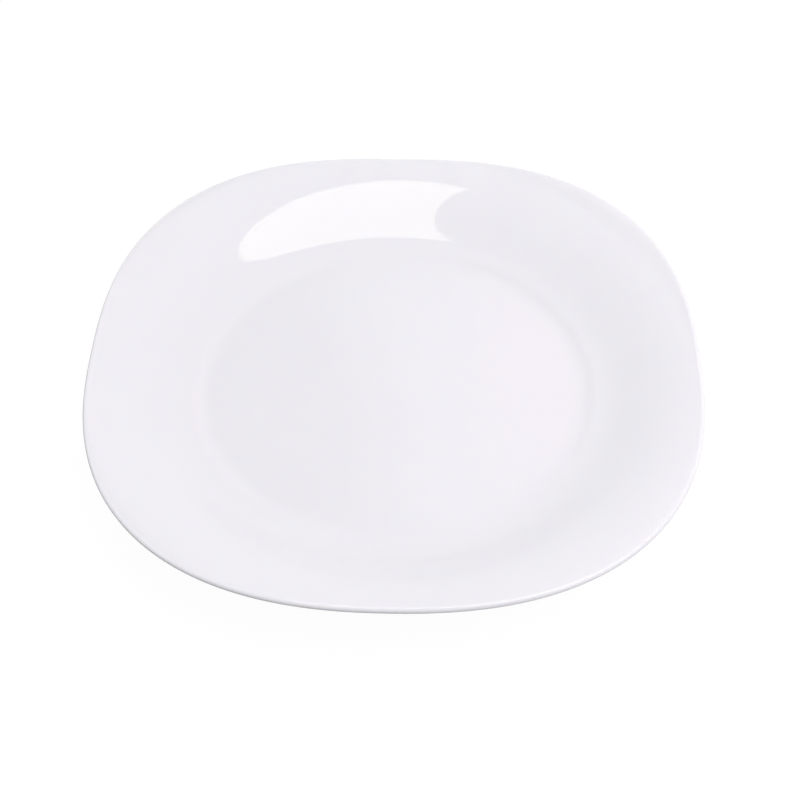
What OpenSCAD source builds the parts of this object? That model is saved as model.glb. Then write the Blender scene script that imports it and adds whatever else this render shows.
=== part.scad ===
// Dessert plate of pressed opal glass: a round dish with a soft S-shaped side,
// trimmed to a rounded square with a rounded lip, on a low foot ring.
// Origin: centre of the foot, on the table. +Z is up, the sides lie along X and Y. Millimetres.

/* [Outline] */
// Width across the middles of two opposite sides
plate_width = 190; // [180:1:240]
// Squareness of the outline: 2 gives a circle, more gives tighter corners
squareness = 2.48; // [2:0.02:3]

/* [Dish] */
// Radius of the flat well
well_radius = 49; // [40:0.5:60]
// Height over the well that the side's curve climbs to
rise = 16; // [8:0.1:20]
// Distance from the middle of a side out to the circle where that curve would be level
crest_margin = 9; // [0:0.5:15]
// Reach of the soft bend from the well into the side
well_bend = 21; // [6:0.5:24]
// Reach of the bend from the side into the lip
lip_bend = 23.5; // [12:0.5:28]
// Thickness of the glass in the well
glass = 3.2; // [2:0.1:4]
// Thickness of the glass at the lip
lip_glass = 2.2; // [1.6:0.1:4]
// How far the lip's edge is rounded in
edge_round = 1.1; // [0.6:0.1:2]

/* [Foot] */
// Outer radius of the foot ring
foot_radius = 54; // [30:1:58]
// Width of the foot ring on the table
foot_width = 4; // [2:0.2:8]
// Height of the foot ring
foot_height = 1.2; // [0.6:0.1:3]

/* [Hidden] */
opal_white = [0.94, 0.935, 0.955];
side_steps = 28;
lip_steps = 6;
edge_steps = 6;
// Height of the rounded edge as a share of the glass, so that the faces cross at an angle
edge_share = 1.08;
outline_steps = 144;
$fn = outline_steps;

half_width = plate_width / 2;
corner_radius = outline_radius(45);
crest_radius = half_width + crest_margin;
well_height = foot_height + glass;
crest_height = well_height + rise;
// Radius of the lip's roll over its crest, which carries on the curve that the side ends with
lip_roll = 4 / 3 * lip_bend * lip_bend / rise;

// Radius of the rounded square in a direction
function outline_radius(angle) =
    half_width / pow(pow(abs(cos(angle)), squareness) + pow(abs(sin(angle)), squareness), 1 / squareness);

// Drop of the upper face beyond the lip's crest
function lip_drop(radius) = pow(max(radius - crest_radius, 0), 2) / (2 * lip_roll);

// Curve from the first to the last of its posts, which the posts between pull into shape, and its rate of change
function curve(t, posts) =
    len(posts) == 1 ? posts[0] : curve(t, [for (i = [1 : len(posts) - 1]) (1 - t) * posts[i - 1] + t * posts[i]]);
function curve_rate(t, posts) =
    (len(posts) - 1) * curve(t, [for (i = [1 : len(posts) - 1]) posts[i] - posts[i - 1]]);

// Posts of the side: a soft start in the well's plane, and an end that is level at the crest
side_posts = [
    [well_radius, well_height],
    [well_radius + well_bend, well_height],
    [well_radius + well_bend, well_height],
    [crest_radius - lip_bend, crest_height],
    [crest_radius, crest_height]
];

// Stations of the upper face, from the axis outwards: radius, height and angle of slope
function side_station(t) =
    let (place = curve(t, side_posts), rate = curve_rate(t, side_posts))
    [place[0], place[1], atan2(rate[1], rate[0])];
function lip_station(radius) =
    [radius, crest_height - lip_drop(radius), -atan((radius - crest_radius) / lip_roll)];
lip_reach = max(corner_radius, crest_radius) + glass;
stations = [
    [0, well_height, 0],
    for (step = [0 : side_steps]) side_station(step / side_steps),
    for (step = [1 : lip_steps]) lip_station(crest_radius + (lip_reach - crest_radius) * step / lip_steps)
];

// Height and angle of slope of the upper face at a radius
upper_heights = [for (place = stations) [place[0], place[1]]];
upper_slopes = [for (place = stations) [place[0], place[2]]];

// Thickness of the glass, which thins out evenly over the side
function thickness(radius) =
    glass + (lip_glass - glass) * min(max((radius - well_radius) / (half_width - well_radius), 0), 1);

// Section of the round dish, with its thickness square to the upper face
module dish_section() {
    lower = [
        for (step = [len(stations) - 1 : -1 : 0])
            let (place = stations[step], depth = thickness(place[0]))
            [place[0] + depth * sin(place[2]), place[1] - depth * cos(place[2])]
    ];
    polygon(concat(upper_heights, lower));
}

// Body inside the outline, with the lip's rounded edge around it: each ring turns about the middle of the glass
module rounded_trim() {
    function edge_point(angle, turn) =
        let (
            start = outline_radius(angle) - edge_round,
            half = lip_glass / 2 / cos(lookup(start, upper_slopes)),
            radius = start + edge_round * cos(turn),
            height = lookup(start, upper_heights) - half + edge_share * half * sin(turn)
        )
        [radius * cos(angle), radius * sin(angle), height];
    function wall_point(angle, height) =
        let (start = outline_radius(angle) - edge_round)
        [start * cos(angle), start * sin(angle), height];
    angles = [for (step = [0 : outline_steps - 1]) 360 * step / outline_steps];
    rings = [
        [for (angle = angles) wall_point(angle, -foot_height)],
        for (step = [0 : edge_steps])
            [for (angle = angles) edge_point(angle, 180 * step / edge_steps - 90)],
        [for (angle = angles) wall_point(angle, crest_height + foot_height)]
    ];
    points = [for (ring = rings) each ring];
    function corner(ring, step) = ring * outline_steps + step % outline_steps;
    faces = [
        [for (step = [0 : outline_steps - 1]) corner(0, step)],
        for (ring = [0 : len(rings) - 2], step = [0 : outline_steps - 1])
            each [
                [corner(ring, step), corner(ring + 1, step), corner(ring, step + 1)],
                [corner(ring, step + 1), corner(ring + 1, step), corner(ring + 1, step + 1)]
            ],
        [for (step = [outline_steps - 1 : -1 : 0]) corner(len(rings) - 1, step)]
    ];
    polyhedron(points, faces, convexity = 2);
}

// Ring under the well that the plate stands on, with sloping sides
module foot_ring() {
    inner = foot_radius - foot_width;
    top = foot_height + glass / 2;
    rotate_extrude()
        polygon([
            [inner, 0],
            [foot_radius, 0],
            [foot_radius + foot_height, foot_height],
            [foot_radius + foot_height, top],
            [inner - foot_height, top],
            [inner - foot_height, foot_height]
        ]);
}

module plate() {
    color(opal_white)
        union() {
            intersection() {
                rotate_extrude() dish_section();
                rounded_trim();
            }
            foot_ring();
        }
}

plate();
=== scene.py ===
"""Looks of a rounded-square dessert plate of white opal glass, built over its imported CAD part."""

import logging
import math
from bisect import bisect_left
from collections.abc import Iterator
from dataclasses import dataclass, field
from enum import Enum
from functools import cached_property

import bmesh
import bpy
from mathutils import Matrix, Vector

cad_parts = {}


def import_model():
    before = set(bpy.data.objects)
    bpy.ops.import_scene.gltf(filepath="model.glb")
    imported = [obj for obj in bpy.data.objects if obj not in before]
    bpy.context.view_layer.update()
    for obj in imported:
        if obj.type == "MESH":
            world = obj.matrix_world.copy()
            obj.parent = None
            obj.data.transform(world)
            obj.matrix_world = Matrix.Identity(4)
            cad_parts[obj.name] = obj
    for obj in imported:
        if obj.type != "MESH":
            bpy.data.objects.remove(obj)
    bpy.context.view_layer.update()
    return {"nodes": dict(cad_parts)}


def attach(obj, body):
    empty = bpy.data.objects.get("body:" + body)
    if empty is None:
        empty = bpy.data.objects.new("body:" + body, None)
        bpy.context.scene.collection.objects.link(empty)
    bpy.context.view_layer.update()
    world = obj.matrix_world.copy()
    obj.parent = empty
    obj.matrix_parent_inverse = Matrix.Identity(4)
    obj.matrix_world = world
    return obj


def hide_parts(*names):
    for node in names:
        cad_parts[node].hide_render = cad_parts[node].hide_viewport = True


LOG = logging.getLogger("dessert_plate")
MM = 0.001
WHITE = "#FFFFFF"

Colour = tuple[float, float, float, float]
Triple = tuple[float, float, float]


class Finish(Enum):
    """How a stretch of the glass was left, as the value of the mesh's finish attribute."""

    FIRE_POLISHED = 0.0
    MOULDED = 0.5
    GROUND = 1.0


class Reach(Enum):
    """What a lamp is hung for: the body's soft shading, or the highlight on the gloss."""

    BODY = "body"
    GLOSS = "gloss"


def linear(hex_code: str) -> Colour:
    """Turns an sRGB colour into the linear colour that shaders take.

    Args:
        hex_code: The colour as six hex digits after a hash sign.

    Returns:
        The linear red, green and blue, and an alpha of 1.
    """
    parts = [int(hex_code[place : place + 2], 16) / 255 for place in (1, 3, 5)]
    red, green, blue = (part / 12.92 if part <= 0.04045 else ((part + 0.055) / 1.055) ** 2.4 for part in parts)
    return red, green, blue, 1.0


def add_node(tree: bpy.types.NodeTree, kind: str, inputs: dict | None = None, **settings: object) -> bpy.types.Node:
    """Adds a node with its settings, its input values and its links.

    Args:
        tree: The node tree that the node goes into.
        kind: The node's type name.
        inputs: Values by the inputs' names or numbers; a socket as a value is linked.
        settings: The node's own options.

    Returns:
        The new node.
    """
    node = tree.nodes.new(kind)
    for name, value in settings.items():
        setattr(node, name, value)
    for name, value in (inputs or {}).items():
        if isinstance(value, bpy.types.NodeSocket):
            tree.links.new(value, node.inputs[name])
        else:
            node.inputs[name].default_value = value
    return node


def bend(posts: list[Vector], step: float) -> Vector:
    """Follows the smooth curve that posts pull into shape.

    Args:
        posts: The curve's posts, of which it meets the first and the last.
        step: How far along the curve, from 0 to 1.

    Returns:
        The curve's point there.
    """
    while len(posts) > 1:
        posts = [before.lerp(after, step) for before, after in zip(posts, posts[1:])]
    return posts[0]


def blank_tree(owner: bpy.types.Material | bpy.types.World) -> bpy.types.NodeTree:
    """Switches a material or world to nodes.

    Args:
        owner: The material or world.

    Returns:
        Its node tree, emptied.
    """
    owner.use_nodes = True
    owner.node_tree.nodes.clear()
    return owner.node_tree


@dataclass(frozen=True)
class OpalGlass:
    """White opal glass, pressed in a mould and fire-polished: dense milky body, glossy skin, ground foot."""

    body: str = "#F0EFF4"
    cloud: str = "#EEEDF3"
    scatter_depth_mm: float = 0.45
    scatter_by_colour: Triple = (0.9, 0.95, 1.0)
    cloud_mm: float = 30.0
    cloud_detail: float = 3.0
    ripple_mm: float = 16.0
    ripple_detail: float = 1.0
    ripple_depth_mm: float = 0.004
    chill_mm: float = 1.6
    chill_detail: float = 2.0
    chill_depth_mm: float = 0.006
    polished_roughness: float = 0.04
    moulded_roughness: float = 0.14
    ground_roughness: float = 0.55
    index: float = 1.51

    def material(self) -> bpy.types.Material:
        """Makes the glass.

        Returns:
            The material, which reads object coordinates and the finish attribute.
        """
        made = bpy.data.materials.new("opal_glass_pressed")
        tree = blank_tree(made)
        place = add_node(tree, "ShaderNodeTexCoord").outputs["Object"]
        finish = add_node(tree, "ShaderNodeAttribute", attribute_name="finish").outputs["Fac"]
        # The milk in the glass is never quite even: broad, very faint clouds
        clouds = add_node(
            tree,
            "ShaderNodeTexNoise",
            {"Vector": place, "Scale": 1 / (self.cloud_mm * MM), "Detail": self.cloud_detail},
        )
        tint = add_node(
            tree,
            "ShaderNodeMix",
            {"Factor": clouds.outputs["Fac"], "A": linear(self.body), "B": linear(self.cloud)},
            data_type="RGBA",
        )
        # Glossy where the flame melted it, duller where the mould touched it, matt on the ground foot
        rough = add_node(tree, "ShaderNodeFloatCurve", {"Value": finish})
        points = rough.mapping.curves[0].points
        points[0].location = (Finish.FIRE_POLISHED.value, self.polished_roughness)
        points[1].location = (Finish.GROUND.value, self.ground_roughness)
        points.new(Finish.MOULDED.value, self.moulded_roughness)
        rough.mapping.update()
        # Slow ripples of the melted skin, and the fine chill marks of the mould on the under side
        ripples = add_node(
            tree,
            "ShaderNodeTexNoise",
            {"Vector": place, "Scale": 1 / (self.ripple_mm * MM), "Detail": self.ripple_detail},
        )
        chill = add_node(
            tree,
            "ShaderNodeTexNoise",
            {"Vector": place, "Scale": 1 / (self.chill_mm * MM), "Detail": self.chill_detail},
        )
        ripple_bump = add_node(
            tree,
            "ShaderNodeBump",
            {"Height": ripples.outputs["Fac"], "Distance": self.ripple_depth_mm * MM, "Strength": 1.0},
        )
        chill_bump = add_node(
            tree,
            "ShaderNodeBump",
            {
                "Height": chill.outputs["Fac"],
                "Distance": self.chill_depth_mm * MM,
                "Strength": finish,
                "Normal": ripple_bump.outputs["Normal"],
            },
        )
        # Light sinks a little way into the milk, so shade on the glass has soft borders
        shader = add_node(
            tree,
            "ShaderNodeBsdfPrincipled",
            {
                "Base Color": tint.outputs["Result"],
                "Roughness": rough.outputs["Value"],
                "IOR": self.index,
                "Normal": chill_bump.outputs["Normal"],
                "Subsurface Weight": 1.0,
                "Subsurface Radius": self.scatter_by_colour,
                "Subsurface Scale": self.scatter_depth_mm * MM,
            },
            subsurface_method="RANDOM_WALK",
        )
        add_node(tree, "ShaderNodeOutputMaterial", {"Surface": shader.outputs["BSDF"]})
        return made


@dataclass(frozen=True)
class SkinRing:
    """A ring round the plate's skin, placed from the upper face. Millimetres.

    share goes from 0 at the ring's radius to 1 where the lip's edge begins to round. depth goes from 0 on the upper
    face to 1 on the lower one, and reach is measured outwards along the face.
    """

    radius: float
    share: float = 0.0
    depth: float = 0.0
    reach: float = 0.0
    finish: Finish = Finish.FIRE_POLISHED


@dataclass
class OpalPlate:
    """The plate: a round dish with an S-shaped side, trimmed to a rounded square, on a foot ring. Millimetres."""

    name: str = "plate_opal_glass"
    width: float = 190.0
    squareness: float = 2.48
    well_radius: float = 49.0
    rise: float = 16.0
    crest_radius: float = 104.0
    well_bend: float = 21.0
    lip_bend: float = 23.5
    glass: float = 3.2
    lip_glass: float = 2.2
    edge_round: float = 1.1
    foot_radius: float = 54.0
    foot_width: float = 4.0
    foot_height: float = 1.2
    foot_slope: float = 1.2
    side_stations: int = 600
    segments: int = 288
    well_rings: int = 10
    side_rings: int = 80
    edge_rings: int = 14
    foot_rings: int = 6
    ground_shares: Triple = (0.1, 0.5, 0.9)
    lip_passes: int = 3
    merge_distance: float = 0.01
    piece: bpy.types.Object | None = field(default=None, init=False)

    @property
    def well_height(self) -> float:
        """Height of the well over the table."""
        return self.foot_height + self.glass

    @property
    def lip_roll(self) -> float:
        """Radius of the lip's roll over its crest, which carries on the side's curve."""
        return 4 / 3 * self.lip_bend**2 / self.rise

    def outline_radius(self, angle: float) -> float:
        """Distance of the lip's edge from the axis in a direction."""
        power = self.squareness
        return self.width / 2 / (abs(math.cos(angle)) ** power + abs(math.sin(angle)) ** power) ** (1 / power)

    @cached_property
    def side(self) -> list[tuple[float, float, float]]:
        """Works out the side's upper face from the well to the crest.

        Returns:
            Close stations of radius, height and angle of slope, from the inside outwards.
        """
        soft, low, high = self.well_radius + self.well_bend, self.well_height, self.well_height + self.rise
        radii = (self.well_radius, soft, soft, self.crest_radius - self.lip_bend, self.crest_radius)
        posts = [Vector(post) for post in zip(radii, (low, low, low, high, high))]
        legs = [after - before for before, after in zip(posts, posts[1:])]
        stations = []
        for number in range(self.side_stations + 1):
            step = number / self.side_stations
            place, along = bend(posts, step), bend(legs, step)
            stations.append((place.x, place.y, math.atan2(along.y, along.x)))
        return stations

    def upper_face(self, radius: float) -> tuple[float, float]:
        """Gives the upper face at a radius.

        Args:
            radius: Distance from the axis.

        Returns:
            The face's height, and its angle of slope, which is positive where it rises outwards.
        """
        if radius <= self.well_radius:
            return self.well_height, 0.0
        if radius >= self.crest_radius:
            beyond = radius - self.crest_radius
            height = self.well_height + self.rise - beyond**2 / (2 * self.lip_roll)
            return height, -math.atan(beyond / self.lip_roll)
        after = bisect_left(self.side, (radius,))
        near, far = self.side[after - 1], self.side[after]
        share = (radius - near[0]) / (far[0] - near[0])
        return near[1] + share * (far[1] - near[1]), near[2] + share * (far[2] - near[2])

    def thickness(self, radius: float) -> float:
        """Thickness of the glass at a radius, which thins out evenly over the side."""
        share = (radius - self.well_radius) / (self.width / 2 - self.well_radius)
        return self.glass + (self.lip_glass - self.glass) * min(max(share, 0.0), 1.0)

    def lip_start(self, angle: float) -> float:
        """Finds where the lip's edge begins to round.

        Args:
            angle: Direction from the axis.

        Returns:
            The radius on the upper face from which the rounded edge reaches the outline.
        """
        level_start = self.outline_radius(angle) - self.edge_round
        start = level_start
        for _ in range(self.lip_passes):
            slope = self.upper_face(start)[1]
            start = level_start - self.lip_glass / 2 * math.sin(slope)
        return start

    def spot(self, ring: SkinRing, angle: float, lip: float) -> Vector:
        """Places a point of a ring.

        Args:
            ring: The ring.
            angle: Direction from the axis.
            lip: Radius at which the lip's edge begins to round in that direction.

        Returns:
            The point in metres.
        """
        radius = ring.radius + ring.share * (lip - ring.radius)
        height, slope = self.upper_face(radius)
        depth = ring.depth * self.thickness(radius)
        out = radius + ring.reach * math.cos(slope) + depth * math.sin(slope)
        up = height + ring.reach * math.sin(slope) - depth * math.cos(slope)
        return Vector((out * math.cos(angle), out * math.sin(angle), up)) * MM

    def under_well(self, radius: float, height: float, finish: Finish) -> SkinRing:
        """Ring under the well at a radius and a height over the table."""
        return SkinRing(radius, depth=(self.upper_face(radius)[0] - height) / self.thickness(radius), finish=finish)

    def foot_section(self) -> Iterator[SkinRing]:
        """Walks over the foot ring from its outside to its inside.

        Yields:
            Its rings, with softly rounded slopes and a flat ground face.
        """
        outer, inner = self.foot_radius, self.foot_radius - self.foot_width
        for step in range(1, self.foot_rings + 1):
            share = step / self.foot_rings
            height = self.foot_height * (1 + math.cos(math.pi * share)) / 2
            yield self.under_well(outer + self.foot_slope * (1 - share), height, Finish.MOULDED)
        for share in self.ground_shares:
            yield self.under_well(outer + share * (inner - outer), 0.0, Finish.GROUND)
        for step in range(self.foot_rings + 1):
            share = step / self.foot_rings
            height = self.foot_height * (1 - math.cos(math.pi * share)) / 2
            yield self.under_well(inner - self.foot_slope * share, height, Finish.MOULDED)

    def section(self) -> Iterator[SkinRing]:
        """Walks over the whole section, from the middle of the well to the middle of the under side.

        Yields:
            The rings in order.
        """
        for step in range(1, self.well_rings):
            yield SkinRing(self.well_radius * step / self.well_rings)
        for step in range(self.side_rings + 1):
            yield SkinRing(self.well_radius, step / self.side_rings)
        for step in range(1, self.edge_rings):
            turn = math.pi * (0.5 - step / self.edge_rings)
            yield SkinRing(self.well_radius, 1.0, (1 - math.sin(turn)) / 2, self.edge_round * math.cos(turn))
        foot_edge = self.foot_radius + self.foot_slope
        for step in range(self.side_rings, -1, -1):
            yield SkinRing(foot_edge, step / self.side_rings, 1.0, finish=Finish.MOULDED)
        yield from self.foot_section()
        inside = self.foot_radius - self.foot_width - self.foot_slope
        for step in range(self.well_rings - 1, 0, -1):
            yield self.under_well(inside * step / self.well_rings, self.foot_height, Finish.MOULDED)

    def build(self) -> bpy.types.Object:
        """Builds the plate's skin by extruding a ring along the section.

        Returns:
            The piece, closed and smooth.
        """
        mesh = bmesh.new()
        finish = mesh.verts.layers.float.new("finish")
        bmesh.ops.create_circle(mesh, cap_ends=False, segments=self.segments, radius=self.well_radius * MM)
        first = list(mesh.verts)
        verts = first
        lips = [self.lip_start(math.tau * step / self.segments) for step in range(self.segments)]
        for number, ring in enumerate(self.section()):
            if number:
                verts = self.grow(mesh, verts)
            for vert in verts:
                step = round(math.atan2(vert.co.y, vert.co.x) / math.tau * self.segments) % self.segments
                vert.co = self.spot(ring, math.tau * step / self.segments, lips[step])
                vert[finish] = ring.finish.value
        self.close_pole(mesh, first, self.well_height)
        self.close_pole(mesh, verts, self.foot_height)
        bmesh.ops.remove_doubles(mesh, verts=mesh.verts, dist=self.merge_distance * MM)
        bmesh.ops.recalc_face_normals(mesh, faces=mesh.faces)
        data = bpy.data.meshes.new(self.name)
        mesh.to_mesh(data)
        mesh.free()
        data.shade_smooth()
        self.piece = bpy.data.objects.new(self.name, data)
        bpy.context.scene.collection.objects.link(self.piece)
        return self.piece

    def grow(self, mesh: bmesh.types.BMesh, verts: list[bmesh.types.BMVert]) -> list[bmesh.types.BMVert]:
        """Extrudes an open ring of the skin in place.

        Args:
            mesh: The skin.
            verts: The ring's vertices.

        Returns:
            The vertices of the new ring, which still lie on the old one.
        """
        around = set(verts)
        edges = [edge for vert in verts for edge in vert.link_edges if around.issuperset(edge.verts)]
        grown = bmesh.ops.extrude_edge_only(mesh, edges=list(dict.fromkeys(edges)))["geom"]
        return [part for part in grown if isinstance(part, bmesh.types.BMVert)]

    def close_pole(self, mesh: bmesh.types.BMesh, verts: list[bmesh.types.BMVert], height: float) -> None:
        """Draws the skin's open ring in to a pole on the axis, at a height over the table."""
        bmesh.ops.pointmerge(mesh, verts=self.grow(mesh, verts), merge_co=Vector((0.0, 0.0, height * MM)))

    def dress(self, glass: OpalGlass) -> None:
        """Gives the piece its glass and its body, and hides the CAD node that it stands for.

        Args:
            glass: The finish of the whole plate.
        """
        self.piece.data.materials.append(glass.material())
        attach(self.piece, "root")
        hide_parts("plate")


@dataclass(frozen=True)
class Softbox:
    """A rectangular lamp in a plane that faces the plate. Angles in degrees, lengths in millimetres."""

    name: str
    azimuth: float
    elevation: float
    roll: float
    distance: float
    left: float
    right: float
    low: float
    high: float
    radiance: float
    reach: Reach
    tint: str
    aim_height: float = 18.2

    def build(self) -> bpy.types.Object:
        """Hangs the lamp.

        Returns:
            The lamp, which the camera doesn't see.
        """
        turn, lift, roll = (math.radians(angle) for angle in (self.azimuth, self.elevation, self.roll))
        way = Vector((math.sin(turn) * math.cos(lift), -math.cos(turn) * math.cos(lift), math.sin(lift)))
        side = way.cross(Vector((0.0, 0.0, 1.0))).normalized()
        top = side.cross(way)
        side, top = side * math.cos(roll) + top * math.sin(roll), top * math.cos(roll) - side * math.sin(roll)
        middle = way * self.distance + side * (self.left + self.right) / 2 + top * (self.low + self.high) / 2
        data = bpy.data.lights.new(self.name, "AREA")
        data.shape = "RECTANGLE"
        data.size, data.size_y = (self.right - self.left) * MM, (self.high - self.low) * MM
        data.energy = self.radiance * math.pi * data.size * data.size_y
        data.color = linear(self.tint)[:3]
        lamp = bpy.data.objects.new(self.name, data)
        hung = Matrix.Translation((middle + Vector((0.0, 0.0, self.aim_height))) * MM)
        lamp.matrix_world = hung @ Matrix((-side, top, way)).transposed().to_4x4()
        lamp.visible_camera = False
        lamp.visible_diffuse = self.reach is Reach.BODY
        lamp.visible_glossy = lamp.visible_transmission = self.reach is Reach.GLOSS
        bpy.context.scene.collection.objects.link(lamp)
        return lamp


@dataclass(frozen=True)
class Patch:
    """A soft oval patch of the room that only the gloss shows.

    middle is the direction of its middle, half holds its half sizes, both on the unit sphere round the plate, and core
    is the share of them up to which it is full.
    """

    middle: Triple
    half: Triple
    colour: str
    strength: float
    core: float


@dataclass
class Studio:
    """A white floor in a white room that is shaded at the left, with the camera over the plate's front edge."""

    floor_size_mm: float = 6000.0
    paper: str = "#484848"
    paper_white: float = 0.95
    # Painted bounce light on the floor: how bright it glows to the glass at most, towards which side, and over what
    # width
    painted_bounce_peak: float = 0.85
    painted_light_way: Triple = (0.75, 0.65, 0.0)
    painted_light_reach_mm: float = 110.0
    room_white: float = 1.0
    fill: float = 0.96
    shade_way: Triple = (0.58, -0.3, 1.6)
    shade_reach: float = 0.65
    shade_least: float = 0.5
    dark_patch: Patch = Patch(
        middle=(-0.108, 0.64, 0.785), half=(0.12, 0.6, 0.15), colour="#989898", strength=1.0, core=0.45
    )
    light_patch: Patch = Patch(
        middle=(0.085, 0.68, 0.715), half=(0.08, 0.6, 0.13), colour="#FFD8EE", strength=1.55, core=0.2
    )
    camera_place_mm: Triple = (9.64, -327.97, 368.14)
    camera_aim_mm: Triple = (2.01, -17.97, 18.2)
    clip_mm: tuple[float, float] = (10.0, 20000.0)
    lens: float = 69.21
    sensor: float = 36.0

    def by_ray(
        self,
        tree: bpy.types.NodeTree,
        body: float | bpy.types.NodeSocket,
        gloss: float | bpy.types.NodeSocket,
        eye: float,
    ) -> bpy.types.NodeSocket:
        """Chooses a strength by the kind of ray.

        Args:
            tree: The tree of the floor's or the world's shader.
            body: The strength for rays that shade a body.
            gloss: The strength for the rays of glossy and clear surfaces.
            eye: The strength for camera rays.

        Returns:
            The socket that holds the strength.
        """
        path = add_node(tree, "ShaderNodeLightPath").outputs
        strength = body
        for rays, level in (("Is Glossy Ray", gloss), ("Is Transmission Ray", gloss), ("Is Camera Ray", eye)):
            strength = add_node(tree, "ShaderNodeMix", {"Factor": path[rays], "A": strength, "B": level}).outputs[0]
        return strength

    def lay_floor(self) -> bpy.types.Object:
        """Lays the floor.

        Returns:
            The floor, white to the eye, which keeps the plate's faint shadow.
        """
        paper = bpy.data.materials.new("matt_white_paper")
        tree = blank_tree(paper)
        lit = add_node(tree, "ShaderNodeBsdfDiffuse", {"Color": linear(self.paper)})
        # Painted bounce light and shadow: to the glass's rays the paper glows, brightest on the side of the lamps and
        # fading to nothing in a painted shadow at the front left
        place = add_node(tree, "ShaderNodeTexCoord").outputs["Object"]
        side = add_node(tree, "ShaderNodeVectorMath", {0: place, 1: self.painted_light_way}, operation="DOT_PRODUCT")
        reach = self.painted_light_reach_mm * MM
        painted_bounce = add_node(
            tree,
            "ShaderNodeMapRange",
            {"Value": side.outputs["Value"], "From Min": -reach, "From Max": reach, "To Max": self.painted_bounce_peak},
        ).outputs["Result"]
        strength = self.by_ray(tree, painted_bounce, painted_bounce, self.paper_white)
        glow = add_node(tree, "ShaderNodeEmission", {"Color": linear(WHITE), "Strength": strength})
        both = add_node(tree, "ShaderNodeAddShader", {0: lit.outputs[0], 1: glow.outputs[0]})
        add_node(tree, "ShaderNodeOutputMaterial", {"Surface": both.outputs[0]})
        mesh = bmesh.new()
        bmesh.ops.create_grid(mesh, x_segments=1, y_segments=1, size=self.floor_size_mm / 2 * MM)
        data = bpy.data.meshes.new("studio_floor")
        mesh.to_mesh(data)
        mesh.free()
        data.materials.append(paper)
        floor = bpy.data.objects.new("studio_floor", data)
        bpy.context.scene.collection.objects.link(floor)
        return floor

    def lay_patch(
        self, tree: bpy.types.NodeTree, room: bpy.types.NodeSocket, way: bpy.types.NodeSocket, patch: Patch
    ) -> bpy.types.NodeSocket:
        """Lays a patch over the room for the gloss alone.

        Args:
            tree: The world's tree.
            room: The room's shader so far.
            way: The direction that is looked in.
            patch: The patch.

        Returns:
            The shader of the room with the patch.
        """
        off = add_node(tree, "ShaderNodeVectorMath", {0: way, 1: patch.middle}, operation="SUBTRACT").outputs[0]
        off = add_node(tree, "ShaderNodeVectorMath", {0: off, 1: patch.half}, operation="DIVIDE").outputs[0]
        out = add_node(tree, "ShaderNodeVectorMath", {0: off}, operation="LENGTH").outputs["Value"]
        gloss = add_node(tree, "ShaderNodeLightPath").outputs["Is Glossy Ray"]
        share = add_node(
            tree,
            "ShaderNodeMapRange",
            {"Value": out, "From Min": patch.core, "From Max": 1.0, "To Min": gloss, "To Max": 0.0},
            interpolation_type="SMOOTHSTEP",
        )
        seen = add_node(
            tree, "ShaderNodeBackground", {"Color": linear(patch.colour), "Strength": patch.strength}
        ).outputs[0]
        return add_node(tree, "ShaderNodeMixShader", {0: share.outputs[0], 1: room, 2: seen}).outputs[0]

    def light(self) -> None:
        """Sets the room: white to the eye, patches in the gloss, and for the body a fill shaded at the left."""
        world = bpy.data.worlds.new("white_room")
        bpy.context.scene.world = world
        tree = blank_tree(world)
        way = add_node(tree, "ShaderNodeTexCoord").outputs["Generated"]
        side = add_node(tree, "ShaderNodeVectorMath", {0: way, 1: self.shade_way}, operation="DOT_PRODUCT")
        shaded = add_node(
            tree,
            "ShaderNodeMapRange",
            {
                "Value": side.outputs["Value"],
                "From Min": -self.shade_reach,
                "From Max": 0.0,
                "To Min": self.fill * self.shade_least,
                "To Max": self.fill,
            },
        )
        strength = self.by_ray(tree, shaded.outputs["Result"], self.room_white, self.room_white)
        room = add_node(tree, "ShaderNodeBackground", {"Color": linear(WHITE), "Strength": strength}).outputs[0]
        for patch in (self.dark_patch, self.light_patch):
            room = self.lay_patch(tree, room, way, patch)
        add_node(tree, "ShaderNodeOutputWorld", {"Surface": room})

    def place_camera(self) -> bpy.types.Object:
        """Places the camera at the photograph's viewing angle.

        Returns:
            The camera, which is now the scene's own.
        """
        data = bpy.data.cameras.new("camera")
        data.lens, data.sensor_width = self.lens, self.sensor
        data.clip_start, data.clip_end = (length * MM for length in self.clip_mm)
        camera = bpy.data.objects.new("camera", data)
        place, aim = Vector(self.camera_place_mm) * MM, Vector(self.camera_aim_mm) * MM
        camera.location = place
        camera.rotation_euler = (aim - place).to_track_quat("-Z", "Y").to_euler()
        bpy.context.scene.collection.objects.link(camera)
        bpy.context.scene.camera = camera
        return camera


def main() -> None:
    """Builds the plate and its studio in order, and reports each piece."""
    logging.basicConfig(level=logging.INFO, format="%(name)s: %(message)s")
    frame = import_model()
    LOG.info("CAD nodes: %s", ", ".join(sorted(frame["nodes"])))
    bpy.context.scene.view_settings.view_transform = "Standard"

    plate = OpalPlate()
    piece = plate.build()
    plate.dress(OpalGlass())
    LOG.info("%s: %d faces", piece.name, len(piece.data.polygons))

    studio = Studio()
    studio.place_camera()
    studio.light()
    studio.lay_floor()
    lamps = (
        Softbox(
            name="softbox",
            azimuth=94.5,
            elevation=43.16,
            roll=6.93,
            distance=700.0,
            left=-37.16,
            right=430.0,
            low=0.0,
            high=1031.4,
            radiance=2.75,
            reach=Reach.GLOSS,
            tint="#FFFEE0",
        ),
        Softbox(
            name="side_panel",
            azimuth=72.0,
            elevation=35.0,
            roll=0.0,
            distance=330.0,
            left=-200.0,
            right=200.0,
            low=-120.0,
            high=120.0,
            radiance=0.6,
            reach=Reach.BODY,
            tint="#FFF4F8",
        ),
    )
    for lamp in lamps:
        LOG.info("%s hung", lamp.build().name)


if __name__ == "__main__":
    main()
